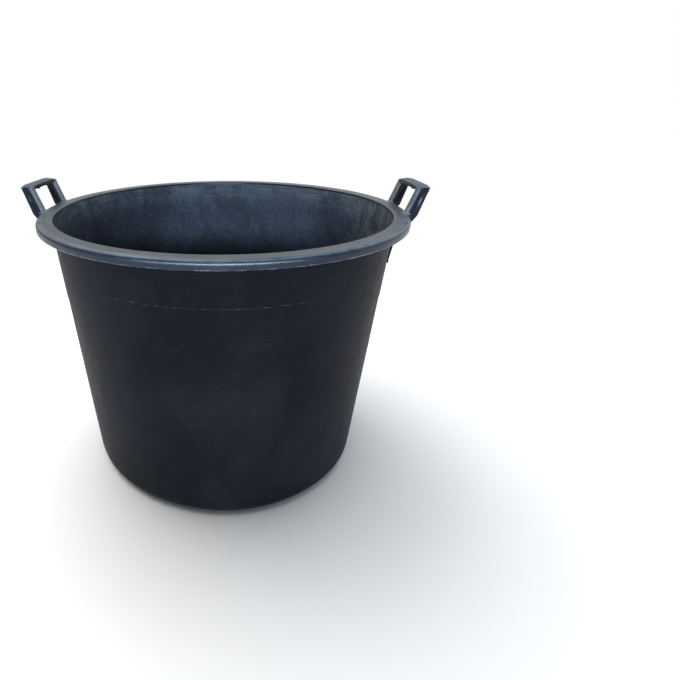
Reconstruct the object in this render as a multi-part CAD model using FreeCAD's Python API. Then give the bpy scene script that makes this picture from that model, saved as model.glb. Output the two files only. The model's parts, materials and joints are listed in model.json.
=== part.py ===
import FreeCAD, Part
import math
import os

# Mortar mixing tub, about 90 litres, moulded in one piece from recycled black plastic.
# Millimetres. The origin is the centre of the footprint on the ground, +Z is up and the
# two handles lie on the X axis. Each node is one moulded region, and the regions meet
# face to face.

Vector = FreeCAD.Vector
ORIGIN = Vector(0, 0, 0)
UP = Vector(0, 0, 1)

# Overall size
height = 445.0
rim_radius = 300.0

# Wall: a straight cone, widened by a small step at the nesting line
wall_thickness = 4.0
wall_radius_at_ground = 246.9
wall_radius_at_rim = 278.7
nesting_line_height = 323.5
nesting_step = 0.7

# Heel, foot ring and floor
heel_top = 42.0
heel_outer_fillet = 24.0
heel_inner_fillet = 20.0
heel_clearance = 1.0
foot_outer_radius = 222.0
foot_inner_radius = 213.0
foot_inner_fillet = 1.6
foot_outer_fillet = 0.9
floor_recess = 6.0
floor_thickness = 5.0

# Marks on the underside of the floor
circle_band_radius = 115.0
circle_band_width = 5.0
mark_relief = 0.9
gate_ring_radius = 12.5
gate_nub_radius = 4.0
gate_nub_relief = 2.4
mark_ring_radius = 9.0
mark_ring_width = 1.8
mark_count = 4
mark_circle_radius = 78.0

# Rim: a flat plate, an outer edge turned down, and one rib under it
rim_thickness = 4.0
rim_inner_edge_fillet = 3.4
roll_start_radius = 290.0
roll_fillet = 6.5
roll_inner_fillet = 3.0
lip_depth = 12.9
lip_thickness = 3.5
lip_edge_fillet = 1.4
rim_rib_radius = 284.5
rim_rib_thickness = 2.4
rim_rib_depth = 9.0

# Handle: two T-section arms lean outwards and carry a channel-section grip
arm_spacing = 92.0
bead_width = 11.0
bead_depth = 5.0
bead_front_fillet = 2.4
bead_back_fillet = 1.2
bead_back_overlap = 0.5
bead_foot_x = 288.2
bead_top_x = 302.0
web_thickness = 4.6
web_outer_x = 322.0
fin_knee_x = 309.5
fin_knee_drop = 4.0
fin_knee_fillet = 8.0
fin_bend_proud = 4.6
fin_bend_drop = 43.0
fin_bend_fillet = 30.0
fin_drop = 76.0
fin_tip_height = 6.0
fin_tip_proud = 1.5
grip_top = height + 42.8
grip_inner_x = 301.8
grip_outer_x = 322.6
grip_length = 100.0
grip_end_height = 1.8
grip_end_fillet = 1.5
grip_shoulder_length = 15.0
grip_shoulder_fillet = 18.0
grip_thickness = 4.8
grip_crown = 1.6
grip_corner_fillet = 4.0
skirt_depth = 3.0
skirt_thickness = 2.8
cross_rib_spacing = 34.0
cross_rib_thickness = 2.6
cross_rib_proud = 2.5

# How far a solid runs on past the face that trims it
trim_margin = 30.0


def outer_radius(z):
    """Outer radius of the wall's cone at height z, above the nesting line."""
    slope = (wall_radius_at_rim - wall_radius_at_ground) / height
    return wall_radius_at_ground + slope * z


def inner_radius(z):
    """Inner radius of the wall at height z."""
    return outer_radius(z) - wall_thickness


def corner_arc(before, corner, after, radius):
    """Start, middle and end of the arc that rounds one corner of an outline."""
    to_before = (before - corner).normalize()
    to_after = (after - corner).normalize()
    half_angle = to_before.getAngle(to_after) / 2.0
    reach = radius / math.tan(half_angle)
    inwards = (to_before + to_after).normalize()
    centre_distance = radius / math.sin(half_angle)
    start = corner + to_before * reach
    middle = corner + inwards * (centre_distance - radius)
    end = corner + to_after * reach
    return start, middle, end


def rounded_face(corners, place):
    """A face from (u, v) or (u, v, fillet) corners; place turns (u, v) into a point."""
    points = [place(corner[0], corner[1]) for corner in corners]
    fillets = [corner[2] if len(corner) > 2 else 0.0 for corner in corners]
    count = len(points)
    edges = []
    stations = []
    for i in range(count):
        if fillets[i] > 0.0:
            arc = corner_arc(points[i - 1], points[i], points[(i + 1) % count], fillets[i])
            stations.append(arc)
        else:
            stations.append((points[i], None, points[i]))
    for i in range(count):
        start, middle, end = stations[i]
        if middle is not None:
            edges.append(Part.Arc(start, middle, end).toShape())
        following = stations[(i + 1) % count][0]
        if end.distanceToPoint(following) > 1e-6:
            edges.append(Part.LineSegment(end, following).toShape())
    return Part.Face(Part.Wire(edges))


def in_radial_plane(u, v):
    """Outline radius u and height v as a point on the +X side."""
    return Vector(u, 0, v)


def revolved(corners):
    """A full turn about Z of an outline given as (radius, height, fillet) corners."""
    return rounded_face(corners, in_radial_plane).revolve(ORIGIN, UP, 360)


def ring(radius, width, bottom, top):
    """A flat ring whose middle line has this radius."""
    inner = radius - width / 2.0
    outer = radius + width / 2.0
    return revolved([(inner, bottom), (outer, bottom), (outer, top), (inner, top)])


def prism_across(corners, y_middle, width):
    """An outline in X and Z, extruded along Y to both sides of y_middle."""
    def place(u, v):
        return Vector(u, y_middle - width / 2.0, v)
    return rounded_face(corners, place).extrude(Vector(0, width, 0))


def prism_along(corners, x_low, x_high):
    """An outline in Y and Z, extruded along X."""
    def place(u, v):
        return Vector(x_low, u, v)
    return rounded_face(corners, place).extrude(Vector(x_high - x_low, 0, 0))


def prism_up(corners, z_low, z_high):
    """An outline in X and Y, extruded upwards."""
    def place(u, v):
        return Vector(u, v, z_low)
    return rounded_face(corners, place).extrude(Vector(0, 0, z_high - z_low))


# ---------------------------------------------------------------- the tub's body

def floor_plate():
    return Part.makeCylinder(foot_inner_radius, floor_thickness, Vector(0, 0, floor_recess))


def floor_circle_band():
    return ring(circle_band_radius, circle_band_width, floor_recess - mark_relief, floor_recess)


def gate_mark():
    """The mark at the middle of the underside: a thin ring and the stub of the sprue."""
    bottom = floor_recess - mark_relief
    outer = ring(gate_ring_radius, mark_ring_width, bottom, floor_recess)
    nub_base = Vector(0, 0, floor_recess - gate_nub_relief)
    nub = Part.makeCylinder(gate_nub_radius, gate_nub_relief, nub_base)
    return Part.makeCompound([outer, nub])


def mould_mark_rings():
    """Four plain round ejector marks, evenly spaced about the centre."""
    bottom = floor_recess - mark_relief
    rings = []
    for i in range(mark_count):
        angle = 2.0 * math.pi * (i + 0.5) / mark_count
        mark = ring(mark_ring_radius, mark_ring_width, bottom, floor_recess)
        mark.translate(Vector(math.cos(angle), math.sin(angle), 0) * mark_circle_radius)
        rings.append(mark)
    return Part.makeCompound(rings)


def foot_ring():
    """The ring that the tub stands on. Its top slopes down from the floor to the heel."""
    return revolved([
        (foot_inner_radius, 0, foot_inner_fillet),
        (foot_outer_radius, 0, foot_outer_fillet),
        (foot_outer_radius, heel_clearance + floor_thickness),
        (foot_inner_radius, floor_recess + floor_thickness),
    ])


def heel_corner():
    """The rounded corner between the foot ring and the wall."""
    floor_inside = heel_clearance + floor_thickness
    return revolved([
        (foot_outer_radius, heel_clearance),
        (outer_radius(heel_clearance) - nesting_step, heel_clearance, heel_outer_fillet),
        (outer_radius(heel_top) - nesting_step, heel_top),
        (inner_radius(heel_top), heel_top),
        (inner_radius(floor_inside), floor_inside, heel_inner_fillet),
        (foot_outer_radius, floor_inside),
    ])


def lower_wall():
    top = nesting_line_height
    return revolved([
        (inner_radius(heel_top), heel_top),
        (outer_radius(heel_top) - nesting_step, heel_top),
        (outer_radius(top) - nesting_step, top),
        (inner_radius(top), top),
    ])


def upper_wall():
    """The wall above the nesting line, where it steps out a little."""
    bottom = nesting_line_height
    top = height - rim_thickness
    step_top = bottom + nesting_step
    return revolved([
        (inner_radius(bottom), bottom),
        (outer_radius(bottom) - nesting_step, bottom),
        (outer_radius(step_top), step_top),
        (outer_radius(top), top),
        (inner_radius(top), top),
    ])


def rim_plate():
    """The flat top of the rim, from the wall out to where the edge starts to turn down."""
    bottom = height - rim_thickness
    return revolved([
        (inner_radius(bottom), bottom),
        (roll_start_radius, bottom),
        (roll_start_radius, height),
        (inner_radius(height), height, rim_inner_edge_fillet),
    ])


def rim_roll():
    """The rim's outer edge: a rounded shoulder and the lip that hangs from it."""
    bottom = height - rim_thickness
    lip_bottom = height - lip_depth
    lip_inner = rim_radius - lip_thickness
    return revolved([
        (roll_start_radius, bottom),
        (roll_start_radius, height),
        (rim_radius, height, roll_fillet),
        (rim_radius, lip_bottom, lip_edge_fillet),
        (lip_inner, lip_bottom, lip_edge_fillet),
        (lip_inner, bottom, roll_inner_fillet),
    ])


def rim_rib():
    top = height - rim_thickness
    return ring(rim_rib_radius, rim_rib_thickness, top - rim_rib_depth, top)


# ---------------------------------------------------------------- one handle, on +X

def grip_underside():
    """Height of the grip's flat underside, where the arms end."""
    return grip_top - grip_thickness


def grip_plate():
    """The grip's top: crowned across, with sloping shoulders and rounded corners."""
    low = grip_underside()
    high = grip_top + trim_margin
    half = grip_length / 2.0
    flat_half = half - grip_shoulder_length
    end_top = low + grip_end_height
    plan = prism_up([
        (grip_inner_x, -half, grip_corner_fillet),
        (grip_outer_x, -half, grip_corner_fillet),
        (grip_outer_x, half, grip_corner_fillet),
        (grip_inner_x, half, grip_corner_fillet),
    ], low, high)
    elevation = prism_along([
        (-half, low),
        (half, low),
        (half, end_top, grip_end_fillet),
        (flat_half, grip_top, grip_shoulder_fillet),
        (-flat_half, grip_top, grip_shoulder_fillet),
        (-half, end_top, grip_end_fillet),
    ], grip_inner_x, grip_outer_x)
    middle_x = (grip_inner_x + grip_outer_x) / 2.0
    half_width = (grip_outer_x - grip_inner_x) / 2.0
    crown_radius = (half_width ** 2 + grip_crown ** 2) / (2.0 * grip_crown)
    crown_start = Vector(middle_x, -half, grip_top - crown_radius)
    crown = Part.makeCylinder(crown_radius, grip_length, crown_start, Vector(0, 1, 0))
    return plan.common(elevation).common(crown)


def bead_point(z):
    """Where the bead's inner face is, in X, at height z."""
    along = (z - height) / (grip_underside() - height)
    return bead_foot_x + (bead_top_x - bead_foot_x) * along


def arm_bead(y):
    """The rounded flange along one arm's inner edge, from the rim up to the grip."""
    low = height - trim_margin
    high = grip_underside() + trim_margin
    start = Vector(bead_point(low), y, low)
    end = Vector(bead_point(high), y, high)
    along = (end - start).normalize()
    outwards = Vector(along.z, 0, -along.x)

    def place(u, v):
        return start + Vector(0, u, 0) + outwards * v
    half = bead_width / 2.0
    section = rounded_face([
        (-half, 0, bead_front_fillet),
        (half, 0, bead_front_fillet),
        (half, bead_depth, bead_back_fillet),
        (-half, bead_depth, bead_back_fillet),
    ], place)
    bar = section.extrude(end - start)
    span_bottom = height - rim_thickness / 2.0
    span_height = grip_underside() - span_bottom
    span = Part.makeCylinder(web_outer_x + trim_margin, span_height, Vector(0, 0, span_bottom))
    return bar.common(span).cut(rim_plate()).cut(rim_roll())


def tub_inside():
    """Everything inside the wall's outer face, to trim what grows out of the wall."""
    top = height - rim_thickness
    return Part.makeCone(outer_radius(nesting_line_height), outer_radius(top),
                         top - nesting_line_height, Vector(0, 0, nesting_line_height))


def arm_plate(y):
    """Web and fin in one: a flat plate from the wall up to the grip."""
    tip_z = height - fin_drop
    tip_x = outer_radius(tip_z) + fin_tip_proud
    bend_z = height - fin_bend_drop
    bend_x = outer_radius(bend_z) + fin_bend_proud
    root_x = tip_x - trim_margin
    top = grip_underside()
    back = bead_depth - bead_back_overlap
    plate = prism_across([
        (root_x, tip_z - fin_tip_height),
        (tip_x, tip_z - fin_tip_height),
        (tip_x, tip_z),
        (bend_x, bend_z, fin_bend_fillet),
        (fin_knee_x, height - fin_knee_drop, fin_knee_fillet),
        (web_outer_x, top),
        (bead_point(top) + back, top),
        (bead_point(height) + back, height),
        (bead_point(height) + back, height - rim_thickness),
        (root_x, height - rim_thickness),
    ], y, web_thickness)
    plate = plate.cut(tub_inside()).cut(rim_plate()).cut(rim_roll()).cut(rim_rib())
    return plate.cut(arm_bead(y))


def below_rim_zone():
    """The space under the rim: below the lip, and the channel between the lip and the wall."""
    lip_bottom = height - lip_depth
    under = Part.makeCylinder(web_outer_x, fin_drop, Vector(0, 0, lip_bottom - fin_drop))
    channel = Part.makeCylinder(rim_radius - lip_thickness / 2.0, lip_depth - rim_thickness,
                                Vector(0, 0, lip_bottom))
    return under.fuse(channel)


def arm_web(y):
    return arm_plate(y).cut(below_rim_zone())


def gusset_fin(y):
    return arm_plate(y).common(below_rim_zone())


def grip_skirt(x_low):
    """One of the grip's two down-turned edges, between the arms."""
    half = (arm_spacing - web_thickness) / 2.0
    top = grip_underside()
    corner = Vector(x_low, -half, top - skirt_depth)
    skirt = Part.makeBox(skirt_thickness, 2.0 * half, skirt_depth, corner)
    for side in (-1, 1):
        skirt = skirt.cut(arm_bead(side * arm_spacing / 2.0))
    return skirt


def grip_cross_ribs():
    """Two ribs across the grip's underside, which stand a little below its skirts."""
    ribs = []
    top = grip_underside()
    depth = skirt_depth + cross_rib_proud
    x_low = grip_inner_x + skirt_thickness
    x_high = grip_outer_x - skirt_thickness
    for side in (-1, 1):
        y = side * cross_rib_spacing / 2.0 - cross_rib_thickness / 2.0
        ribs.append(Part.makeBox(x_high - x_low, cross_rib_thickness, depth,
                                 Vector(x_low, y, top - depth)))
    return Part.makeCompound(ribs)


def handle_nodes():
    """All the regions of the handle on +X, by the last part of their names."""
    half = arm_spacing / 2.0
    return {
        "grip_plate": grip_plate(),
        "grip_inner_skirt": grip_skirt(grip_inner_x),
        "grip_outer_skirt": grip_skirt(grip_outer_x - skirt_thickness),
        "grip_cross_ribs": grip_cross_ribs(),
        "front_arm_bead": arm_bead(-half),
        "rear_arm_bead": arm_bead(half),
        "front_arm_web": arm_web(-half),
        "rear_arm_web": arm_web(half),
        "front_gusset_fin": gusset_fin(-half),
        "rear_gusset_fin": gusset_fin(half),
    }


# ---------------------------------------------------------------- all nodes

nodes = {
    "floor_plate": floor_plate(),
    "floor_circle_band": floor_circle_band(),
    "gate_mark": gate_mark(),
    "mould_mark_rings": mould_mark_rings(),
    "foot_ring": foot_ring(),
    "heel_corner": heel_corner(),
    "lower_wall": lower_wall(),
    "upper_wall": upper_wall(),
    "rim_plate": rim_plate(),
    "rim_roll": rim_roll(),
    "rim_rib": rim_rib(),
}
for name, shape in handle_nodes().items():
    nodes["right_" + name] = shape
    nodes["left_" + name] = shape.mirror(ORIGIN, Vector(1, 0, 0))

os.makedirs("parts", exist_ok=True)
for name, shape in nodes.items():
    shape.exportStep("parts/" + name + ".step")
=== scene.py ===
import json
import math

import bpy
from mathutils import Matrix, Vector, noise

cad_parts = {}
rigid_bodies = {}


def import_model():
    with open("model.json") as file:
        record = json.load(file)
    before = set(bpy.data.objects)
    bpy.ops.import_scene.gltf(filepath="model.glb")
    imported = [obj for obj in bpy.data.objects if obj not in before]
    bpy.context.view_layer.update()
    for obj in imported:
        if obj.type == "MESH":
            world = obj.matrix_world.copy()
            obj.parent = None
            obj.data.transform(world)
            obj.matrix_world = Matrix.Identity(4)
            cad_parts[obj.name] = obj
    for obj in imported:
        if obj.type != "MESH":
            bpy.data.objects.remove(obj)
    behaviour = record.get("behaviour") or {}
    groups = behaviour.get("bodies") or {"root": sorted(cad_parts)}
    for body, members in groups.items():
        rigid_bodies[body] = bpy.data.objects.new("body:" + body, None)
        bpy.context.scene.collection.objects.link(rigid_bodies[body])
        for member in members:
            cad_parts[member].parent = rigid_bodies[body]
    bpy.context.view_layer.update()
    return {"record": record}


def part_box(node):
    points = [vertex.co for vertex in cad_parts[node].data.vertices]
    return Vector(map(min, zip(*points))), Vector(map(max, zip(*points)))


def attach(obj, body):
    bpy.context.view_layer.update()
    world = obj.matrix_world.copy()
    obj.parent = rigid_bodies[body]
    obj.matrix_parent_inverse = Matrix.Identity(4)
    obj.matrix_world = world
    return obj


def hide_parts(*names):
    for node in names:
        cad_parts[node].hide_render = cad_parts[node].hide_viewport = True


# The looks of the mortar mixing tub. Sizes are in millimetres until a mesh is made, while
# materials, lights and the camera are in metres. Each piece stands for the CAD node of the
# same name. A turn is measured in radians about Z.

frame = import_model()
slot_of = {part["node"]: part["material_slot"] for part in frame["record"]["subparts"]}

MM = 0.001
X, Y, Z = 0, 1, 2


def low(node, axis):
    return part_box(node)[0][axis] / MM


def high(node, axis):
    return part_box(node)[1][axis] / MM


# Sizes that the frame gives
height = high("rim_plate", Z)
rim_radius = high("rim_roll", Y)
heel_clearance = low("heel_corner", Z)
heel_top = high("heel_corner", Z)
nesting_line = high("lower_wall", Z)
foot_inner_radius = high("floor_plate", Y)
floor_low = low("floor_plate", Z)
floor_high = high("floor_plate", Z)
lip_low = low("rim_roll", Z)
rib_low = low("rim_rib", Z)
rib_outer = high("rim_rib", Y)
plate_low = low("rim_plate", Z)
grip_low = low("right_grip_plate", Z)
grip_high = high("right_grip_plate", Z)
grip_inner_x = low("right_grip_plate", X)
grip_outer_x = high("right_grip_plate", X)
grip_half = high("right_grip_plate", Y)
web_outer_x = high("right_front_arm_web", X)
fin_low = low("right_front_gusset_fin", Z)

# Sizes inside a node's box
wall_radius_at_ground = 246.9
wall_radius_at_rim = 278.7
wall_thickness = 4.0
nesting_step = 0.7
foot_outer_radius = 222.0
foot_inner_fillet = 1.6
foot_outer_fillet = 0.9
heel_fillet = 24.0
heel_inner_fillet = 20.0
roll_start = 290.0
roll_fillet = 6.5
rim_inner_edge_fillet = 3.4
lip_thickness = 3.5
lip_fillet = 1.4
lip_root_fillet = 3.0
rib_thickness = 2.4
rib_fillet = 0.7
arm_y = 46.0
bead_half = 5.5
bead_depth = 5.0
bead_foot_x = 288.2
bead_top_x = 302.0
fin_tip_height = 6.0
fin_tip_high = fin_low + fin_tip_height
fin_tip_proud = 1.5
fin_bend_drop = 43.0
fin_bend_proud = 4.6
fin_bend_fillet = 30.0
fin_knee_drop = 4.0
fin_knee_x = 309.5
fin_knee_fillet = 8.0
web_half = 2.3
plate_half = web_half - 0.1
grip_shoulder_length = 15.0
grip_shoulder_fillet = 18.0
grip_end_height = 1.8
grip_end_fillet = 1.5
grip_crown = 1.6
cross_rib_y = 17.0

# How far a piece runs into the one that it meets, so that no gap shows
tuck = 0.3
wall_tuck = 2.0

# How finely a full turn and a rounded corner are divided
turn_steps = 256
arc_step = math.radians(15)
run_step = 14.0
edge_margin = 0.7
crease_angle = math.radians(38)


def outer_radius(z):
    return wall_radius_at_ground + (wall_radius_at_rim - wall_radius_at_ground) * z / height


def inner_radius(z):
    return outer_radius(z) - wall_thickness


def smooth_step(value):
    value = min(1.0, max(0.0, value))
    return value * value * (3.0 - 2.0 * value)


# ---------------------------------------------------------------- mesh making

def warped(x, y, z):
    """A big moulding is never quite round, and its wall is a little wavy below the rim."""
    oval_depth = 0.25
    oval_turn = 0.6
    wave_depth = 0.9
    waves_round = 1.9
    waves_up = 3.2
    calm_from = 380.0
    calm_full = 430.0
    radius = math.hypot(x, y)
    if radius < 1.0:
        return Vector((x, y, z))
    turn = math.atan2(y, x)
    oval = 0.5 + 0.5 * math.cos(2.0 * turn + oval_turn)
    place = Vector((waves_round * x / radius, waves_round * y / radius, waves_up * z / height))
    wall_only = 1.0 - smooth_step((z - calm_from) / (calm_full - calm_from))
    inward = (oval_depth * oval + wave_depth * wall_only * noise.noise(place)) * radius / rim_radius
    shrink = 1.0 - inward / radius
    return Vector((x * shrink, y * shrink, z))


def finish_piece(name, points, faces):
    """Makes the mesh object for one node, in metres, smooth except at its creases."""
    mesh = bpy.data.meshes.new(name)
    mesh.from_pydata([warped(*point) * MM for point in points], [], faces)
    mesh.validate()
    mesh.polygons.foreach_set("use_smooth", [True] * len(mesh.polygons))
    mesh.set_sharp_from_angle(angle=crease_angle)
    mesh.materials.append(material_for(name))
    piece = bpy.data.objects.new(name + "_skin", mesh)
    bpy.context.scene.collection.objects.link(piece)
    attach(piece, "root")
    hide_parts(name)


def corner_points(before, corner, after, fillet):
    """Points along the arc that rounds one corner of an outline."""
    to_before = (before - corner).normalized()
    to_after = (after - corner).normalized()
    half_angle = to_before.angle(to_after) / 2.0
    centre = corner + (to_before + to_after).normalized() * (fillet / math.sin(half_angle))
    first = corner + to_before * (fillet / math.tan(half_angle)) - centre
    last = corner + to_after * (fillet / math.tan(half_angle)) - centre
    sweep = math.pi - 2.0 * half_angle
    steps = max(2, math.ceil(sweep / arc_step))
    points = []
    for i in range(steps + 1):
        share = sweep * i / steps
        blend = (first * math.sin(sweep - share) + last * math.sin(share)) / math.sin(sweep)
        points.append(centre + blend)
    return points


def divided(start, end):
    """Points between two outline points: one close to each end, and evenly spaced ones."""
    length = (end - start).length
    if length < 3.0 * edge_margin:
        return []
    stations = [edge_margin]
    steps = math.ceil((length - 2.0 * edge_margin) / run_step)
    for i in range(1, steps):
        stations.append(edge_margin + (length - 2.0 * edge_margin) * i / steps)
    stations.append(length - edge_margin)
    return [start.lerp(end, station / length) for station in stations]


def outline(corners):
    """A closed outline from (u, v) or (u, v, fillet) corners, with arcs and divided runs."""
    points = [Vector((corner[0], corner[1])) for corner in corners]
    stretches = []
    for i, corner in enumerate(corners):
        if len(corner) > 2:
            after = points[(i + 1) % len(points)]
            stretches.append(corner_points(points[i - 1], points[i], after, corner[2]))
        else:
            stretches.append([points[i]])
    route = []
    for i, stretch in enumerate(stretches):
        route.extend(stretch)
        route.extend(divided(stretch[-1], stretches[(i + 1) % len(stretches)][0]))
    return route


def read_off(route, along):
    """The second coordinate of an open route where its first coordinate is along."""
    for start, end in zip(route, route[1:]):
        if along <= end[0]:
            share = (along - start[0]) / max(end[0] - start[0], 0.000001)
            return start[1] + (end[1] - start[1]) * max(0.0, share)
    return route[-1][1]


def grid_faces(rows, columns, first, wrap_rows):
    """Quads over a grid whose columns close on themselves."""
    faces = []
    for i in range(rows if wrap_rows else rows - 1):
        for j in range(columns):
            a = first + i * columns + j
            b = first + i * columns + (j + 1) % columns
            c = first + ((i + 1) % rows) * columns + (j + 1) % columns
            d = first + ((i + 1) % rows) * columns + j
            faces.append((a, b, c, d))
    return faces


def turned(corners, steps=turn_steps, centre=(0.0, 0.0), first=0):
    """Points and faces of an outline turned round a vertical axis."""
    route = outline(corners)
    points = []
    for i in range(steps):
        turn = 2.0 * math.pi * i / steps
        for spot in route:
            x = centre[0] + spot.x * math.cos(turn)
            y = centre[1] + spot.x * math.sin(turn)
            points.append((x, y, spot.y))
    return points, grid_faces(steps, len(route), first, True)


def turned_piece(name, corners):
    finish_piece(name, *turned(corners))


def lofted(sections):
    """Points and faces of a closed skin through sections of equally many points."""
    count = len(sections[0])
    points = [point for section in sections for point in section]
    faces = grid_faces(len(sections), count, 0, False)
    last = (len(sections) - 1) * count
    faces.append(tuple(range(count - 1, -1, -1)))
    faces.append(tuple(range(last, last + count)))
    return points, faces


def facing_out(points, faces):
    """The same faces, wound so that their normals point out of the closed skin."""
    volume = 0.0
    for face in faces:
        a = Vector(points[face[0]])
        for i in range(1, len(face) - 1):
            volume += a.dot(Vector(points[face[i]]).cross(Vector(points[face[i + 1]])))
    if volume < 0.0:
        return [tuple(reversed(face)) for face in faces]
    return faces


def handle_piece(name, side, parts):
    """Makes a handle piece from skins modelled on +X; side -1 is its mirror image."""
    all_points = []
    all_faces = []
    for points, faces in parts:
        offset = len(all_points)
        placed = [(side * x, y, z) for x, y, z in points]
        wound = facing_out(placed, faces)
        all_points.extend(placed)
        all_faces.extend(tuple(index + offset for index in face) for face in wound)
    finish_piece(name, all_points, all_faces)


# ---------------------------------------------------------------- materials

class Tree:
    """Short calls that build one material's nodes."""

    def __init__(self, name):
        self.material = bpy.data.materials.new(name)
        self.material.use_nodes = True
        self.nodes = self.material.node_tree.nodes
        self.nodes.clear()
        self.surface = self.nodes.new("ShaderNodeBsdfPrincipled")
        output = self.nodes.new("ShaderNodeOutputMaterial")
        self.join(self.surface.outputs["BSDF"], output.inputs["Surface"])
        self.place = self.nodes.new("ShaderNodeTexCoord").outputs["Object"]

    def join(self, source, socket):
        self.material.node_tree.links.new(source, socket)

    def feed(self, node, index, value):
        if isinstance(value, bpy.types.NodeSocket):
            self.join(value, node.inputs[index])
        else:
            node.inputs[index].default_value = value

    def math(self, operation, *values):
        node = self.nodes.new("ShaderNodeMath")
        node.operation = operation
        for index, value in enumerate(values):
            self.feed(node, index, value)
        return node.outputs[0]

    def sum(self, *values):
        total = values[0]
        for value in values[1:]:
            total = self.math("ADD", total, value)
        return total

    def times(self, *values):
        total = values[0]
        for value in values[1:]:
            total = self.math("MULTIPLY", total, value)
        return total

    def combined(self, x, y, z):
        node = self.nodes.new("ShaderNodeCombineXYZ")
        for index, value in enumerate((x, y, z)):
            self.feed(node, index, value)
        return node.outputs[0]

    def noise(self, vector, scale, detail, roughness, distortion=0.0):
        node = self.nodes.new("ShaderNodeTexNoise")
        self.join(vector, node.inputs["Vector"])
        node.inputs["Scale"].default_value = scale
        node.inputs["Detail"].default_value = detail
        node.inputs["Roughness"].default_value = roughness
        node.inputs["Distortion"].default_value = distortion
        return node.outputs["Fac"]

    def spread(self, value, start, end, out_start=0.0, out_end=1.0):
        """A smooth ramp of value from start to end."""
        node = self.nodes.new("ShaderNodeMapRange")
        node.interpolation_type = "SMOOTHSTEP"
        for index, number in enumerate((value, start, end, out_start, out_end)):
            self.feed(node, index, number)
        return node.outputs[0]

    def band(self, value, start, end, soft):
        """1 between start and end, fading over soft at both sides."""
        rise = self.spread(value, start - soft, start)
        fall = self.spread(value, end, end + soft, 1.0, 0.0)
        return self.times(rise, fall)

    def mixed(self, factor, first, second):
        """The first colour where factor is 0, the second where it is 1."""
        node = self.nodes.new("ShaderNodeMix")
        node.data_type = "RGBA"
        self.feed(node, 0, factor)
        for index, value in ((6, first), (7, second)):
            is_socket = isinstance(value, bpy.types.NodeSocket)
            self.feed(node, index, value if is_socket else (*value, 1.0))
        return node.outputs[2]

    def cylinder_coordinates(self):
        """Radius, turn and height above the ground; the turn is 0 in front and grows to +X."""
        node = self.nodes.new("ShaderNodeSeparateXYZ")
        self.join(self.place, node.inputs[0])
        x, y, z = node.outputs
        radius = self.math("SQRT", self.sum(self.times(x, x), self.times(y, y)))
        turn = self.math("ARCTAN2", x, self.math("MULTIPLY", y, -1.0))
        return radius, turn, z

    def upward(self):
        """How far the surface faces up, from -1 to 1."""
        node = self.nodes.new("ShaderNodeSeparateXYZ")
        self.join(self.nodes.new("ShaderNodeNewGeometry").outputs["Normal"], node.inputs[0])
        return node.outputs[2]

    def bump(self, value, distance, normal=None):
        node = self.nodes.new("ShaderNodeBump")
        node.inputs["Distance"].default_value = distance
        node.inputs["Strength"].default_value = 1.0
        self.join(value, node.inputs["Height"])
        if normal is not None:
            self.join(normal, node.inputs["Normal"])
        return node.outputs[0]


def inside_chalk_dust_and_painted_light(tree, radius, turn, z, hoops, streaks):
    """How much pale mortar film and dust the wall's inner face shows; both fade out towards the bottom
    as painted shade, and a smooth band near the top is lighter as painted light.
    """
    face_blur = 0.0006
    shade_fades_from, shade_fades_full = 0.262, 0.350
    painted_top_light_from, painted_top_light_full = 0.385, 0.436
    dust_from, dust_full = 0.395, 0.435

    patches = tree.noise(tree.place, 3.6, detail=5.0, roughness=0.62, distortion=0.6)
    wisps = tree.noise(tree.place, 16.0, detail=5.0, roughness=0.7, distortion=1.2)
    grit_noise = tree.noise(tree.place, 170.0, detail=4.0, roughness=0.7)
    on_the_right = tree.band(turn, 1.25, 1.75, 0.40)
    on_the_left = tree.band(turn, -2.3, -1.2, 0.5)
    mid_wall = tree.sum(tree.times(z, (wall_radius_at_rim - wall_radius_at_ground) / height),
                        (wall_radius_at_ground - 0.5 * wall_thickness) * MM)
    is_inside = tree.spread(tree.math("SUBTRACT", radius, mid_wall), -face_blur, face_blur, 1.0, 0.0)

    # Painted shade: the inside's pale film and dust fade out towards the bottom, so the lower inside
    # is darker.
    painted_light_by_height = tree.spread(z, shade_fades_from, shade_fades_full, 0.02, 1.0)
    grit = tree.spread(grit_noise, 0.35, 0.75, 0.70, 1.35)
    cleaner = tree.math("SUBTRACT", 1.0, tree.times(on_the_left, 0.40))
    chalk_and_top_light = tree.sum(
        0.42,
        tree.times(tree.spread(patches, 0.38, 0.64), 0.60),
        tree.times(tree.spread(wisps, 0.45, 0.75), 0.35),
        tree.times(tree.spread(streaks, 0.55, 0.85), 0.10),
        # Painted light: a smooth band just below the rim is lighter.
        tree.times(tree.spread(z, painted_top_light_from, painted_top_light_full), 0.30),
        tree.times(on_the_right, 0.30),
    )
    chalk_and_painted_light = tree.times(is_inside, chalk_and_top_light, painted_light_by_height, grit, cleaner)

    strokes = tree.sum(tree.times(wisps, 0.65), tree.times(streaks, 0.35))
    brushed = tree.spread(strokes, 0.38, 0.66)
    flecked = tree.spread(wisps, 0.34, 0.70)
    ringed = tree.spread(hoops, 0.40, 0.60, 0.4, 1.0)
    near_top = tree.times(tree.spread(z, dust_from, dust_full), ringed)
    dust = tree.sum(tree.times(near_top, flecked, 0.80), tree.times(on_the_right, brushed, 1.05))
    dust_and_painted_shade = tree.times(is_inside, painted_light_by_height, grit, dust)
    return chalk_and_painted_light, dust_and_painted_shade


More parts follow.
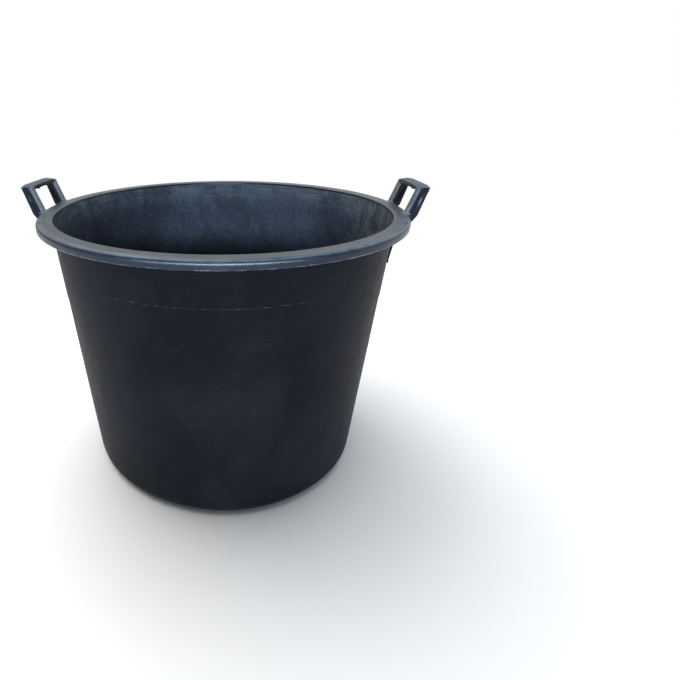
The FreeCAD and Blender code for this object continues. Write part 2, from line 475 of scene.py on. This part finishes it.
def plastic(name, base, pale, roughness, specular, clouds, specks, grain,
            inside=0.0, rubbed_and_sheen=0.0, sheen_from=-2.0, sides=0.0):
    """Black plastic: clouded, finely grained, dust-flecked, scuffed where it wears, and lightened by
    painted light.

    Base turns to pale by clouds (large soft patches), specks (grains of dust), inside (mortar's
    pale film and dust on the wall's inner face, with painted light and painted shade by height) and
    rubbed (mottled wear with a painted sheen on what faces up more than sheen_from, and painted light
    added by sides towards the handles). Grain is the depth of the surface's texture.
    """
    dust_colour = (0.150, 0.170, 0.178)
    wave_depth = 0.0004

    tree = Tree(name)
    radius, turn, z = tree.cylinder_coordinates()

    cloud = tree.noise(tree.place, 7.0, detail=4.0, roughness=0.6, distortion=0.4)
    mottle = tree.noise(tree.place, 55.0, detail=3.0, roughness=0.6)
    fine = tree.noise(tree.place, 900.0, detail=2.0, roughness=0.6)
    around = tree.combined(tree.times(turn, 3.0), tree.times(radius, 4.0), tree.times(z, 420.0))
    hoops = tree.noise(around, 1.0, detail=3.0, roughness=0.6)
    upright = tree.combined(tree.times(turn, 90.0), tree.times(radius, 6.0), tree.times(z, 3.5))
    streaks = tree.noise(upright, 1.0, detail=3.0, roughness=0.6, distortion=0.2)
    grains = tree.noise(tree.place, 430.0, detail=1.0, roughness=0.4)
    dots = tree.spread(grains, 0.735, 0.80)
    dust = tree.times(dots, tree.spread(cloud, 0.35, 0.65))

    haze_and_painted_light = tree.sum(
        tree.times(tree.spread(cloud, 0.30, 0.75), clouds),
        tree.times(tree.spread(mottle, 0.45, 0.8), 0.25 * clouds),
        tree.times(tree.spread(hoops, 0.60, 0.85), 0.16),
        tree.times(dust, specks),
    )
    if inside > 0.0:
        chalk_and_painted_light, dust_and_painted_shade = inside_chalk_dust_and_painted_light(tree, radius, turn, z, hoops, streaks)
        haze_and_painted_light = tree.sum(haze_and_painted_light, tree.times(chalk_and_painted_light, inside))
    if rubbed_and_sheen > 0.0:
        worn_noise = tree.sum(tree.times(mottle, 0.5), tree.times(hoops, 0.5))
        worn = tree.spread(worn_noise, 0.15, 0.75)
        # Painted sheen: faces that face up more than sheen_from are made paler, mottled by the wear
        # noise above.
        facing_up_sheen = tree.spread(tree.upward(), sheen_from, sheen_from + 0.35)
        # Painted light: paler towards the handles on both sides, by sides.
        painted_side_light = tree.times(tree.spread(tree.math("ABSOLUTE", turn), 0.7, 1.4), sides)
        haze_and_painted_light = tree.sum(haze_and_painted_light, tree.times(worn, facing_up_sheen, tree.sum(rubbed_and_sheen, painted_side_light)))
    haze_and_painted_light = tree.math("MINIMUM", haze_and_painted_light, 1.0)
    painted = tree.mixed(haze_and_painted_light, base, pale)
    if inside > 0.0:
        painted = tree.mixed(dust_and_painted_shade, painted, dust_colour)
    tree.join(painted, tree.surface.inputs["Base Color"])

    rough = tree.sum(
        roughness,
        tree.times(tree.math("SUBTRACT", mottle, 0.5), 0.22),
        tree.times(tree.math("SUBTRACT", cloud, 0.5), 0.16),
        tree.times(haze_and_painted_light, 0.10),
    )
    tree.join(rough, tree.surface.inputs["Roughness"])
    tree.surface.inputs["Specular IOR Level"].default_value = specular

    waviness = tree.noise(tree.place, 22.0, detail=2.0, roughness=0.5)
    waves = tree.bump(waviness, wave_depth)
    texture = tree.sum(fine, tree.times(mottle, 0.8), tree.times(hoops, 0.6))
    tree.join(tree.bump(texture, grain, waves), tree.surface.inputs["Normal"])
    return tree


def paint_over(tree, amount, colour):
    """Lays a colour over what a material already has, by amount."""
    painted = tree.surface.inputs["Base Color"].links[0].from_socket
    tree.join(tree.mixed(amount, painted, colour), tree.surface.inputs["Base Color"])


def add_scuffs(tree, z_low, z_high, reach, outside_radius, colour):
    """A broken pale line round the front, worn where another tub in a stack has scraped it."""
    radius, turn, z = tree.cylinder_coordinates()
    line = tree.band(z, z_low, z_high, 0.0004)
    along = tree.combined(tree.times(turn, 22.0), 0.0, tree.times(z, 500.0))
    broken = tree.noise(along, 1.0, detail=5.0, roughness=0.75)
    around = tree.band(turn, -reach, reach, 0.25)
    outside = tree.spread(radius, outside_radius - 0.001, outside_radius)
    paint_over(tree, tree.times(line, tree.spread(broken, 0.47, 0.60), around, outside), colour)


def add_nick(tree, turn_at, radius_low, radius_high, colour):
    """A hairline cut across the inner part of the rim's top."""
    half_width = 0.0026
    radius, turn = tree.cylinder_coordinates()[:2]
    line = tree.band(turn, turn_at - half_width, turn_at + half_width, 0.0012)
    across = tree.band(radius, radius_low, radius_high, 0.0006)
    paint_over(tree, tree.times(line, across), colour)


wall_tree = plastic(
    "tub_wall_plastic", base=(0.0054, 0.0061, 0.0084), pale=(0.066, 0.078, 0.102),
    roughness=0.48, specular=0.05, clouds=0.09, specks=0.5, grain=0.00003, inside=0.85)
add_scuffs(wall_tree, z_low=0.3736, z_high=0.3742, reach=0.42, outside_radius=0.2700,
           colour=(0.055, 0.065, 0.085))
# The rim's pale top is a painted sheen on faces that face up, mottled by wear, with painted light
# added towards the handles.
rim_tree = plastic(
    "tub_rim_plastic", base=(0.0032, 0.0046, 0.0090), pale=(0.104, 0.113, 0.124),
    roughness=0.33, specular=0.34, clouds=0.05, specks=0.4, grain=0.00002,
    rubbed_and_sheen=0.68, sheen_from=0.50, sides=0.55)
add_scuffs(rim_tree, z_low=0.4326, z_high=0.4334, reach=0.72, outside_radius=0.2985,
           colour=(0.085, 0.10, 0.13))
add_nick(rim_tree, turn_at=-0.315, radius_low=0.2750, radius_high=0.2815,
         colour=(0.004, 0.004, 0.005))
# The grip's pale top is a painted sheen on faces that face up, mottled by wear.
grip_tree = plastic(
    "tub_grip_plastic", base=(0.003, 0.004, 0.006), pale=(0.150, 0.185, 0.215),
    roughness=0.36, specular=0.08, clouds=0.04, specks=0.3, grain=0.00001,
    rubbed_and_sheen=0.85, sheen_from=0.35)
# Painted light: the beads get a paler copy of the handle plastic all over, standing in for the light
# on them.
lit_bead_tree = plastic(
    "tub_bead_lit_plastic", base=(0.030, 0.034, 0.040), pale=(0.24, 0.27, 0.30),
    roughness=0.38, specular=0.30, clouds=0.35, specks=0.2, grain=0.000006, rubbed_and_sheen=0.55)
web_tree = plastic(
    "tub_web_plastic", base=(0.0022, 0.0030, 0.0062), pale=(0.03, 0.04, 0.065),
    roughness=0.16, specular=0.20, clouds=0.05, specks=0.1, grain=0.000002)
# Painted shade: a darker, duller copy of the handle plastic for the skirts, cross ribs and fins, so
# they read as in shade.
shaded_under_tree = plastic(
    "tub_grip_underside_shaded_plastic", base=(0.0022, 0.0028, 0.0045), pale=(0.03, 0.035, 0.045),
    roughness=0.40, specular=0.06, clouds=0.05, specks=0.2, grain=0.00001)
base_tree = plastic(
    "tub_base_plastic", base=(0.0060, 0.0064, 0.0070), pale=(0.05, 0.05, 0.048),
    roughness=0.55, specular=0.25, clouds=0.20, specks=0.9, grain=0.00005, rubbed_and_sheen=0.12)
slot_trees = {
    "body_plastic": wall_tree,
    "rim_plastic": rim_tree,
    "handle_plastic": web_tree,
    "base_plastic": base_tree,
}


def material_for(node):
    """A node's own plastic, or else the one of its material slot."""
    if node.endswith("grip_plate"):
        return grip_tree.material
    if node.endswith("arm_bead"):
        return lit_bead_tree.material
    if node.endswith(("skirt", "cross_ribs", "gusset_fin")):
        return shaded_under_tree.material
    return slot_trees[slot_of[node]].material


# ---------------------------------------------------------------- the tub's body

def make_floor():
    hub_radius = 0.5
    turned_piece("floor_plate", [
        (hub_radius, floor_low),
        (foot_inner_radius, floor_low),
        (foot_inner_radius, floor_high),
        (hub_radius, floor_high),
    ])


def ring_corners(middle, width, bottom, top, fillet):
    """The section of a raised ring whose lower edges are rounded."""
    return [
        (middle - width / 2.0, bottom, fillet),
        (middle + width / 2.0, bottom, fillet),
        (middle + width / 2.0, top),
        (middle - width / 2.0, top),
    ]


def make_floor_marks():
    """The circle, the gate mark and the four round marks moulded under the floor."""
    relief_low = low("floor_circle_band", Z)
    line_width = 1.8
    line_fillet = 0.4

    band_outer = high("floor_circle_band", Y)
    band_width = 5.0
    turned_piece("floor_circle_band", ring_corners(
        band_outer - band_width / 2.0, band_width, relief_low, floor_low, line_fillet))

    gate_radius = 12.5
    nub_low = low("gate_mark", Z)
    nub_radius = 4.0
    nub_fillet = 0.8
    hub_radius = 0.2
    gate_ring = ring_corners(gate_radius, line_width, relief_low, floor_low, line_fillet)
    points, faces = turned(gate_ring, steps=72)
    nub_points, nub_faces = turned([
        (hub_radius, nub_low),
        (nub_radius, nub_low, nub_fillet),
        (nub_radius, floor_low),
        (hub_radius, floor_low),
    ], steps=48, first=len(points))
    finish_piece("gate_mark", points + nub_points, faces + nub_faces)

    mark_count = 4
    mark_distance = 78.0
    mark_radius = 9.0
    mark = ring_corners(mark_radius, line_width, relief_low, floor_low, line_fillet)
    points = []
    faces = []
    for i in range(mark_count):
        turn = math.pi * (i + 0.5) / 2.0
        centre = (mark_distance * math.cos(turn), mark_distance * math.sin(turn))
        more, more_faces = turned(mark, 64, centre, len(points))
        points.extend(more)
        faces.extend(more_faces)
    finish_piece("mould_mark_rings", points, faces)


def make_body():
    floor_inside = heel_clearance + floor_high - floor_low
    turned_piece("foot_ring", [
        (foot_inner_radius, 0.0, foot_inner_fillet),
        (foot_outer_radius, 0.0, foot_outer_fillet),
        (foot_outer_radius, floor_inside),
        (foot_inner_radius, floor_high),
    ])
    turned_piece("heel_corner", [
        (foot_outer_radius, heel_clearance),
        (outer_radius(heel_clearance) - nesting_step, heel_clearance, heel_fillet),
        (outer_radius(heel_top) - nesting_step, heel_top),
        (inner_radius(heel_top), heel_top),
        (inner_radius(floor_inside), floor_inside, heel_inner_fillet),
        (foot_outer_radius, floor_inside),
    ])
    turned_piece("lower_wall", [
        (inner_radius(heel_top), heel_top),
        (outer_radius(heel_top) - nesting_step, heel_top),
        (outer_radius(nesting_line) - nesting_step, nesting_line),
        (inner_radius(nesting_line), nesting_line),
    ])
    step_top = nesting_line + nesting_step
    turned_piece("upper_wall", [
        (inner_radius(nesting_line), nesting_line),
        (outer_radius(nesting_line) - nesting_step, nesting_line),
        (outer_radius(step_top), step_top),
        (outer_radius(plate_low), plate_low),
        (inner_radius(plate_low), plate_low),
    ])


def make_rim():
    turned_piece("rim_plate", [
        (inner_radius(plate_low), plate_low),
        (roll_start, plate_low),
        (roll_start, height),
        (inner_radius(height), height, rim_inner_edge_fillet),
    ])
    turned_piece("rim_roll", [
        (roll_start, plate_low),
        (roll_start, height),
        (rim_radius, height, roll_fillet),
        (rim_radius, lip_low, lip_fillet),
        (rim_radius - lip_thickness, lip_low, lip_fillet),
        (rim_radius - lip_thickness, plate_low, lip_root_fillet),
    ])
    turned_piece("rim_rib", [
        (rib_outer - rib_thickness, rib_low, rib_fillet),
        (rib_outer, rib_low, rib_fillet),
        (rib_outer, plate_low),
        (rib_outer - rib_thickness, plate_low),
    ])


# ---------------------------------------------------------------- the handles

def bead_x(z):
    """Where an arm's inner face is at height z."""
    return bead_foot_x + (bead_top_x - bead_foot_x) * (z - height) / (grip_low - height)


def rounded_rectangle(u_low, u_high, v_low, v_high, front_fillet, back_fillet):
    corners = [
        (u_low, v_low, front_fillet), (u_high, v_low, front_fillet),
        (u_high, v_high, back_fillet), (u_low, v_high, back_fillet),
    ]
    points = []
    spots = [Vector(corner[:2]) for corner in corners]
    for i, corner in enumerate(corners):
        points.extend(corner_points(spots[i - 1], spots[i], spots[(i + 1) % 4], corner[2]))
    return points


def flare(distance, radius):
    """How far a fillet of this radius stands out at a distance from its foot."""
    if distance >= radius:
        return 0.0
    along = radius - max(0.0, distance)
    return radius - math.sqrt(radius * radius - along * along)


def arm_bead(y):
    """The rounded flange of an arm, with a fillet round its foot on the rim."""
    foot_fillet = 3.5
    top_fillet = 1.2
    front_fillet = 2.4
    back_fillet = 1.2
    root_depth = 1.0
    lean = math.atan2(bead_top_x - bead_foot_x, grip_low - height)
    depth = bead_depth / math.cos(lean)
    straight = grip_low - height - (foot_fillet + top_fillet)
    levels = [height - root_depth]
    levels += [height + rise for rise in (0.0, 0.25, 0.8, 1.6, 2.5, foot_fillet)]
    levels += [height + foot_fillet + straight * i / 7.0 for i in range(1, 8)]
    levels += [grip_low - 0.6, grip_low - 0.2, grip_low + tuck]
    sections = []
    for z in levels:
        out = flare(z - height, foot_fillet) + flare(grip_low - z, top_fillet)
        section = rounded_rectangle(-bead_half - out, bead_half + out, -out, depth + out,
                                    front_fillet + 0.5 * out, back_fillet + 0.5 * out)
        sections.append([(bead_x(z) + spot.y, y + spot.x, z) for spot in section])
    return lofted(sections)


def sink(share, rise):
    """How far a web's face is sunk in, across and up: one long slanted hollow."""
    deepest = 1.15
    foot_share = 0.30
    slant = 0.26
    spread_across = 0.30
    middle_rise = 0.58
    spread_up = 0.34
    across = (share - foot_share - slant * rise) / spread_across
    up = (rise - middle_rise) / spread_up
    return deepest * math.exp(-across * across - up * up)


def plate_section(z, y, inner_x, outer_x, half, root_flare, root_reach, rise=None):
    """One level of a thin plate: flared at its root, rounded at its outer edge, perhaps sunk."""
    shares = (0.0, 0.04, 0.09, 0.16, 0.22, 0.29, 0.36, 0.43, 0.50, 0.57, 0.64, 0.72, 0.80, 0.88, 0.95)
    edge_steps = 5
    thinnest = 0.12
    width = outer_x - inner_x
    edge = min(half * 0.8, width * 0.3)
    side = []
    for share in shares:
        distance = share * (width - edge)
        dished = 0.0 if rise is None else sink(share, rise)
        thick = half - dished + root_flare * math.exp(-distance / root_reach)
        side.append((inner_x + distance, thick))
    for i in range(1, edge_steps + 1):
        turn = math.pi / 2.0 * i / edge_steps
        side.append((outer_x - edge + edge * math.sin(turn), half * max(thinnest, math.cos(turn))))
    section = [(x, y + thick, z) for x, thick in side]
    section += [(x, y - thick, z) for x, thick in reversed(side)]
    return section


def plate_edge():
    """The outer edge that a fin and the web above it share, as (height, x) points."""
    bend_z = height - fin_bend_drop
    tip = Vector((fin_tip_high, outer_radius(fin_tip_high) + fin_tip_proud))
    bend = Vector((bend_z, outer_radius(bend_z) + fin_bend_proud))
    knee = Vector((height - fin_knee_drop, fin_knee_x))
    top = Vector((grip_low, web_outer_x))
    at_bend = corner_points(tip, bend, knee, fin_bend_fillet)
    at_knee = corner_points(bend, knee, top, fin_knee_fillet)
    return [Vector((fin_low, tip.y)), tip] + at_bend + at_knee + [top]


def plate_outer_x(z):
    return read_off(plate_edge(), z)


def arm_web(y):
    """The web behind a bead, from the lip's lower edge up to the grip."""
    bead_root = 2.2
    bead_root_reach = 2.6
    top_root = 1.4
    top_root_reach = 3.0
    levels = [lip_low + (height - lip_low) * i / 5.0 for i in range(6)]
    levels += [height + (grip_low - height) * i / 24.0 for i in range(1, 24)]
    levels += [grip_low - 1.2, grip_low - 0.5, grip_low + tuck]
    sections = []
    for z in levels:
        if z < height:
            inner_x = roll_start + 1.5
            root = 0.0
        else:
            inner_x = bead_x(z) + bead_depth - 0.6
            root = bead_root
        top = top_root * math.exp(-(grip_low - min(z, grip_low)) / top_root_reach)
        rise = (z - lip_low) / (grip_low - lip_low)
        sections.append(plate_section(z, y, inner_x, plate_outer_x(z), plate_half + top,
                                      root, bead_root_reach, rise))
    return lofted(sections)


def gusset_fin(y):
    """The fin under the rim that carries an arm's load into the wall."""
    root = 1.2
    root_reach = 1.6
    foot_fillet = 1.0
    rim_inset = 2.5
    levels = [fin_low, fin_low + 0.3, fin_low + 1.0, fin_low + 3.0]
    levels += [fin_tip_high - 0.5, fin_tip_high + 0.5]
    levels += [fin_tip_high + (lip_low - fin_tip_high) * i / 14.0 for i in range(1, 15)]
    sections = []
    for z in levels:
        rounding = 0.7 * flare(z - fin_low, foot_fillet)
        sections.append(plate_section(z, y, outer_radius(z) - wall_tuck, plate_outer_x(z) - rounding,
                                      plate_half - rounding, root, root_reach))
    for z in (lip_low + 0.01, plate_low + tuck):
        sections.append(plate_section(z, y, outer_radius(z) - wall_tuck, rim_radius - rim_inset,
                                      plate_half, root, root_reach))
    return lofted(sections)


def grip_top_line():
    """The grip's crown line from its middle to one end: flat, then a sloping shoulder."""
    end_high = grip_low + grip_end_height
    middle = Vector((0.0, grip_high))
    shoulder = Vector((grip_half - grip_shoulder_length, grip_high))
    end = Vector((grip_half, end_high))
    foot = Vector((grip_half, grip_low))
    at_shoulder = corner_points(middle, shoulder, end, grip_shoulder_fillet)
    at_end = corner_points(shoulder, end, foot, grip_end_fillet)
    return [middle] + at_shoulder + at_end


def grip_plate():
    """The grip: crowned across, with rounded edges and corners."""
    corner = 4.0
    edge = 1.1
    thinnest = 0.25
    middle = (grip_inner_x + grip_outer_x) / 2.0
    ends = [0.0, 0.1, 0.4, 0.9, 1.5, 2.2, 3.0, 4.0, 5.5, 7.0, 8.5, 10.0, 11.5, 13.0, 14.5, 16.0, 17.5]
    ends += [19.0, 24.0, 32.0, 41.0]
    stations = [-grip_half + end for end in ends] + [0.0] + [grip_half - end for end in reversed(ends)]
    top_line = grip_top_line()
    sections = []
    for y in stations:
        half = (grip_outer_x - grip_inner_x) / 2.0 - flare(grip_half - abs(y), corner)
        top = read_off(top_line, abs(y))
        side_top = max(top - grip_crown, grip_low + thinnest)
        rounding = min(edge, (side_top - grip_low) * 0.7)
        right = [(half, 0.0), (half, (side_top - grip_low - rounding) * 0.5)]
        for i in range(6):
            turn = math.pi / 2.0 * i / 5.0
            right.append((half - rounding + rounding * math.cos(turn),
                          side_top - grip_low - rounding + rounding * math.sin(turn)))
        for share in (0.75, 0.5, 0.25):
            across = share * (half - rounding)
            right.append((across, side_top - grip_low + (top - side_top) * (1.0 - share * share)))
        upper = right + [(0.0, top - grip_low)] + [(-u, v) for u, v in reversed(right)]
        sections.append([(middle + u, y, grip_low + v) for u, v in upper])
    return lofted(sections)


def grip_skirt(x_low, x_high):
    """A down-turned edge of the grip, with a small fillet where it meets each arm."""
    reach = arm_y - web_half
    bottom = low("right_grip_outer_skirt", Z)
    end_fillet = 3.0
    lower_fillet = 0.7
    upper_fillet = 0.2
    ends = [0.0, 0.3, 0.9, 1.8, 3.0, 6.0, 15.0, 28.0]
    stations = [-reach + end for end in ends] + [0.0] + [reach - end for end in reversed(ends)]
    sections = []
    for y in stations:
        drop = flare(reach - abs(y), end_fillet)
        section = rounded_rectangle(x_low, x_high, bottom - drop, grip_low + tuck,
                                    lower_fillet, upper_fillet)
        sections.append([(spot.x, y, spot.y) for spot in section])
    return lofted(sections)


def grip_cross_rib(y):
    """A rib under the grip, from one down-turned edge to the other."""
    bottom = low("right_grip_cross_ribs", Z)
    half = 1.3
    inset = 2.5
    lower_fillet = 0.9
    upper_fillet = 0.2
    x_low = grip_inner_x + inset
    x_high = grip_outer_x - inset
    sections = []
    for share in (0.0, 0.05, 0.2, 0.5, 0.8, 0.95, 1.0):
        x = x_low + (x_high - x_low) * share
        section = rounded_rectangle(y - half, y + half, bottom, grip_low + tuck,
                                    lower_fillet, upper_fillet)
        sections.append([(x, spot.x, spot.y) for spot in section])
    return lofted(sections)


def make_handles():
    skirt_start = 0.15
    skirt_end = 2.8
    inner_skirt = (grip_inner_x + skirt_start, grip_inner_x + skirt_end)
    outer_skirt = (grip_outer_x - skirt_end, grip_outer_x - skirt_start)
    for side, label in ((1, "right_"), (-1, "left_")):
        shapes = {
            "grip_plate": [grip_plate()],
            "grip_inner_skirt": [grip_skirt(*inner_skirt)],
            "grip_outer_skirt": [grip_skirt(*outer_skirt)],
            "grip_cross_ribs": [grip_cross_rib(-cross_rib_y), grip_cross_rib(cross_rib_y)],
            "front_arm_bead": [arm_bead(-arm_y)],
            "rear_arm_bead": [arm_bead(arm_y)],
            "front_arm_web": [arm_web(-arm_y)],
            "rear_arm_web": [arm_web(arm_y)],
            "front_gusset_fin": [gusset_fin(-arm_y)],
            "rear_gusset_fin": [gusset_fin(arm_y)],
        }
        for part, skins in shapes.items():
            handle_piece(label + part, side, skins)


make_floor()
make_floor_marks()
make_body()
make_rim()
make_handles()


# ---------------------------------------------------------------- floor, light and camera

def make_ground():
    """A big pale disc to stand on, which turns into an evenly white surround further out."""
    paper_colours = (0.90, 0.90, 0.895), (0.93, 0.93, 0.925)
    black = (0.0, 0.0, 0.0)
    white_from, white_full = 0.55, 1.7
    radius = 9.0
    below = 0.0005
    steps = 96
    tree = Tree("studio_floor")
    soft = tree.noise(tree.place, 3.0, detail=2.0, roughness=0.5)
    paper = tree.mixed(soft, *paper_colours)
    away = tree.spread(tree.cylinder_coordinates()[0], white_from, white_full)
    tree.join(tree.mixed(away, paper, black), tree.surface.inputs["Base Color"])
    tree.surface.inputs["Emission Color"].default_value = (1.0, 1.0, 1.0, 1.0)
    tree.join(away, tree.surface.inputs["Emission Strength"])
    tree.surface.inputs["Roughness"].default_value = 0.9
    tree.surface.inputs["Specular IOR Level"].default_value = 0.1
    spots = []
    for i in range(steps):
        turn = 2.0 * math.pi * i / steps
        spots.append((radius * math.cos(turn), radius * math.sin(turn), -below))
    mesh = bpy.data.meshes.new("studio_ground")
    mesh.from_pydata(spots, [], [tuple(range(steps))])
    mesh.materials.append(tree.material)
    ground = bpy.data.objects.new("studio_ground", mesh)
    bpy.context.scene.collection.objects.link(ground)
    return ground


def make_area_light(name, place, target, width, depth, power, colour):
    lamp = bpy.data.lights.new(name, "AREA")
    lamp.shape = "RECTANGLE"
    lamp.size = width
    lamp.size_y = depth
    lamp.energy = power
    lamp.color = colour
    light = bpy.data.objects.new(name, lamp)
    light.location = place
    light.rotation_euler = (Vector(target) - Vector(place)).to_track_quat("-Z", "Y").to_euler()
    bpy.context.scene.collection.objects.link(light)
    return light


def make_world():
    """White surroundings, which the camera sees as plain white.

    As light they are dimmer low down, in front and on the left, and bluer on the right.
    """
    levels_by_height = [(0.0, 0.62), (0.12, 0.70), (0.30, 1.05), (0.60, 0.95), (1.0, 0.90)]
    front_level, back_level = 0.30, 1.0
    left_level, right_level = 0.55, 1.30
    left_tint = (1.02, 1.0, 0.97, 1.0)
    right_tint = (0.86, 0.96, 1.08, 1.0)

    world = bpy.data.worlds.new("studio_surroundings")
    world.use_nodes = True
    nodes = world.node_tree.nodes
    links = world.node_tree.links
    nodes.clear()

    def ranged(value, start, end, out_start, out_end):
        node = nodes.new("ShaderNodeMapRange")
        for index, number in enumerate((start, end, out_start, out_end)):
            node.inputs[index + 1].default_value = number
        links.new(value, node.inputs[0])
        return node

    direction = nodes.new("ShaderNodeTexCoord")
    parts = nodes.new("ShaderNodeSeparateXYZ")
    links.new(direction.outputs["Generated"], parts.inputs[0])
    by_height = nodes.new("ShaderNodeValToRGB")
    by_height.color_ramp.interpolation = "EASE"
    while len(by_height.color_ramp.elements) < len(levels_by_height):
        by_height.color_ramp.elements.new(0.5)
    for element, (position, level) in zip(by_height.color_ramp.elements, levels_by_height):
        element.position = position
        element.color = (level, level, level, 1.0)
    links.new(parts.outputs["Z"], by_height.inputs[0])
    front_to_back = ranged(parts.outputs["Y"], -0.5, 0.5, front_level, back_level)
    front_to_back.interpolation_type = "SMOOTHSTEP"
    left_to_right = ranged(parts.outputs["X"], -1.0, 1.0, left_level, right_level)
    strength = front_to_back.outputs[0]
    for factor in (left_to_right.outputs[0], by_height.outputs[0]):
        product = nodes.new("ShaderNodeMath")
        product.operation = "MULTIPLY"
        links.new(strength, product.inputs[0])
        links.new(factor, product.inputs[1])
        strength = product.outputs[0]

    tint = nodes.new("ShaderNodeMix")
    tint.data_type = "RGBA"
    tint.inputs[6].default_value = left_tint
    tint.inputs[7].default_value = right_tint
    links.new(ranged(parts.outputs["X"], -1.0, 1.0, 0.0, 1.0).outputs[0], tint.inputs[0])

    lighting = nodes.new("ShaderNodeBackground")
    links.new(tint.outputs[2], lighting.inputs["Color"])
    links.new(strength, lighting.inputs["Strength"])
    seen = nodes.new("ShaderNodeBackground")
    seen.inputs["Color"].default_value = (1.0, 1.0, 1.0, 1.0)
    seen.inputs["Strength"].default_value = 1.0
    ray = nodes.new("ShaderNodeLightPath")
    mix = nodes.new("ShaderNodeMixShader")
    output = nodes.new("ShaderNodeOutputWorld")
    links.new(ray.outputs["Is Camera Ray"], mix.inputs[0])
    links.new(lighting.outputs[0], mix.inputs[1])
    links.new(seen.outputs[0], mix.inputs[2])
    links.new(mix.outputs[0], output.inputs["Surface"])
    bpy.context.scene.world = world


def make_camera():
    distance = 0.8672
    target_height = 0.24786
    elevation = math.radians(24.096)
    azimuth = math.radians(2.98)
    roll = math.radians(-0.443)
    lens = bpy.data.cameras.new("camera")
    lens.sensor_width = 36.0
    lens.lens = 24.548
    lens.shift_x = 0.1708
    lens.shift_y = -0.0402
    lens.clip_start = 0.05
    lens.clip_end = 50.0
    camera = bpy.data.objects.new("camera", lens)
    back = distance * math.cos(elevation)
    camera.matrix_world = (
        Matrix.Translation((back * math.sin(azimuth), -back * math.cos(azimuth),
                            target_height + distance * math.sin(elevation)))
        @ Matrix.Rotation(azimuth, 4, "Z")
        @ Matrix.Rotation(math.pi / 2.0 - elevation, 4, "X")
        @ Matrix.Rotation(roll, 4, "Z")
    )
    bpy.context.scene.collection.objects.link(camera)
    bpy.context.scene.camera = camera


def link_light(light, pieces, state):
    """Makes a light fall on these pieces only (INCLUDE), or on everything else (EXCLUDE)."""
    group = bpy.data.collections.new(light.name + "_pieces")
    for piece in pieces:
        group.objects.link(piece)
    light.light_linking.receiver_collection = group
    for member in group.collection_objects:
        member.light_linking.link_state = state


ground = make_ground()
make_world()
rim_edge = bpy.data.objects["rim_roll_skin"]
webs = [piece for piece in bpy.data.objects if piece.name.endswith("arm_web_skin")]
front_light = make_area_light(
    "front_light", place=(0.10, -2.0, 0.92), target=(0.0, 0.0, 0.40),
    width=1.3, depth=0.32, power=47.0, colour=(0.62, 0.80, 1.0))
link_light(front_light, [ground], "EXCLUDE")
rim_light = make_area_light(
    "rim_light", place=(0.0, -2.0, 0.92), target=(0.0, 0.0, 0.40),
    width=3.8, depth=0.32, power=135.0, colour=(0.55, 0.77, 1.0))
link_light(rim_light, [rim_edge], "INCLUDE")
web_light = make_area_light(
    "web_light", place=(0.0, -2.0, 0.10), target=(0.0, 0.0, 0.46),
    width=0.55, depth=0.40, power=120.0, colour=(0.50, 0.74, 1.0))
link_light(web_light, webs, "INCLUDE")
make_area_light(
    "top_light", place=(-1.2, 1.0, 3.0), target=(0.0, 0.0, 0.2),
    width=2.2, depth=2.2, power=40.0, colour=(1.0, 0.99, 0.97))
floor_light = make_area_light(
    "floor_light", place=(-0.55, 0.35, 2.6), target=(0.1, -0.1, 0.0),
    width=3.2, depth=3.2, power=74.0, colour=(1.0, 1.0, 1.0))
link_light(floor_light, [ground], "INCLUDE")
make_camera()
bpy.context.scene.view_settings.view_transform = "Standard"
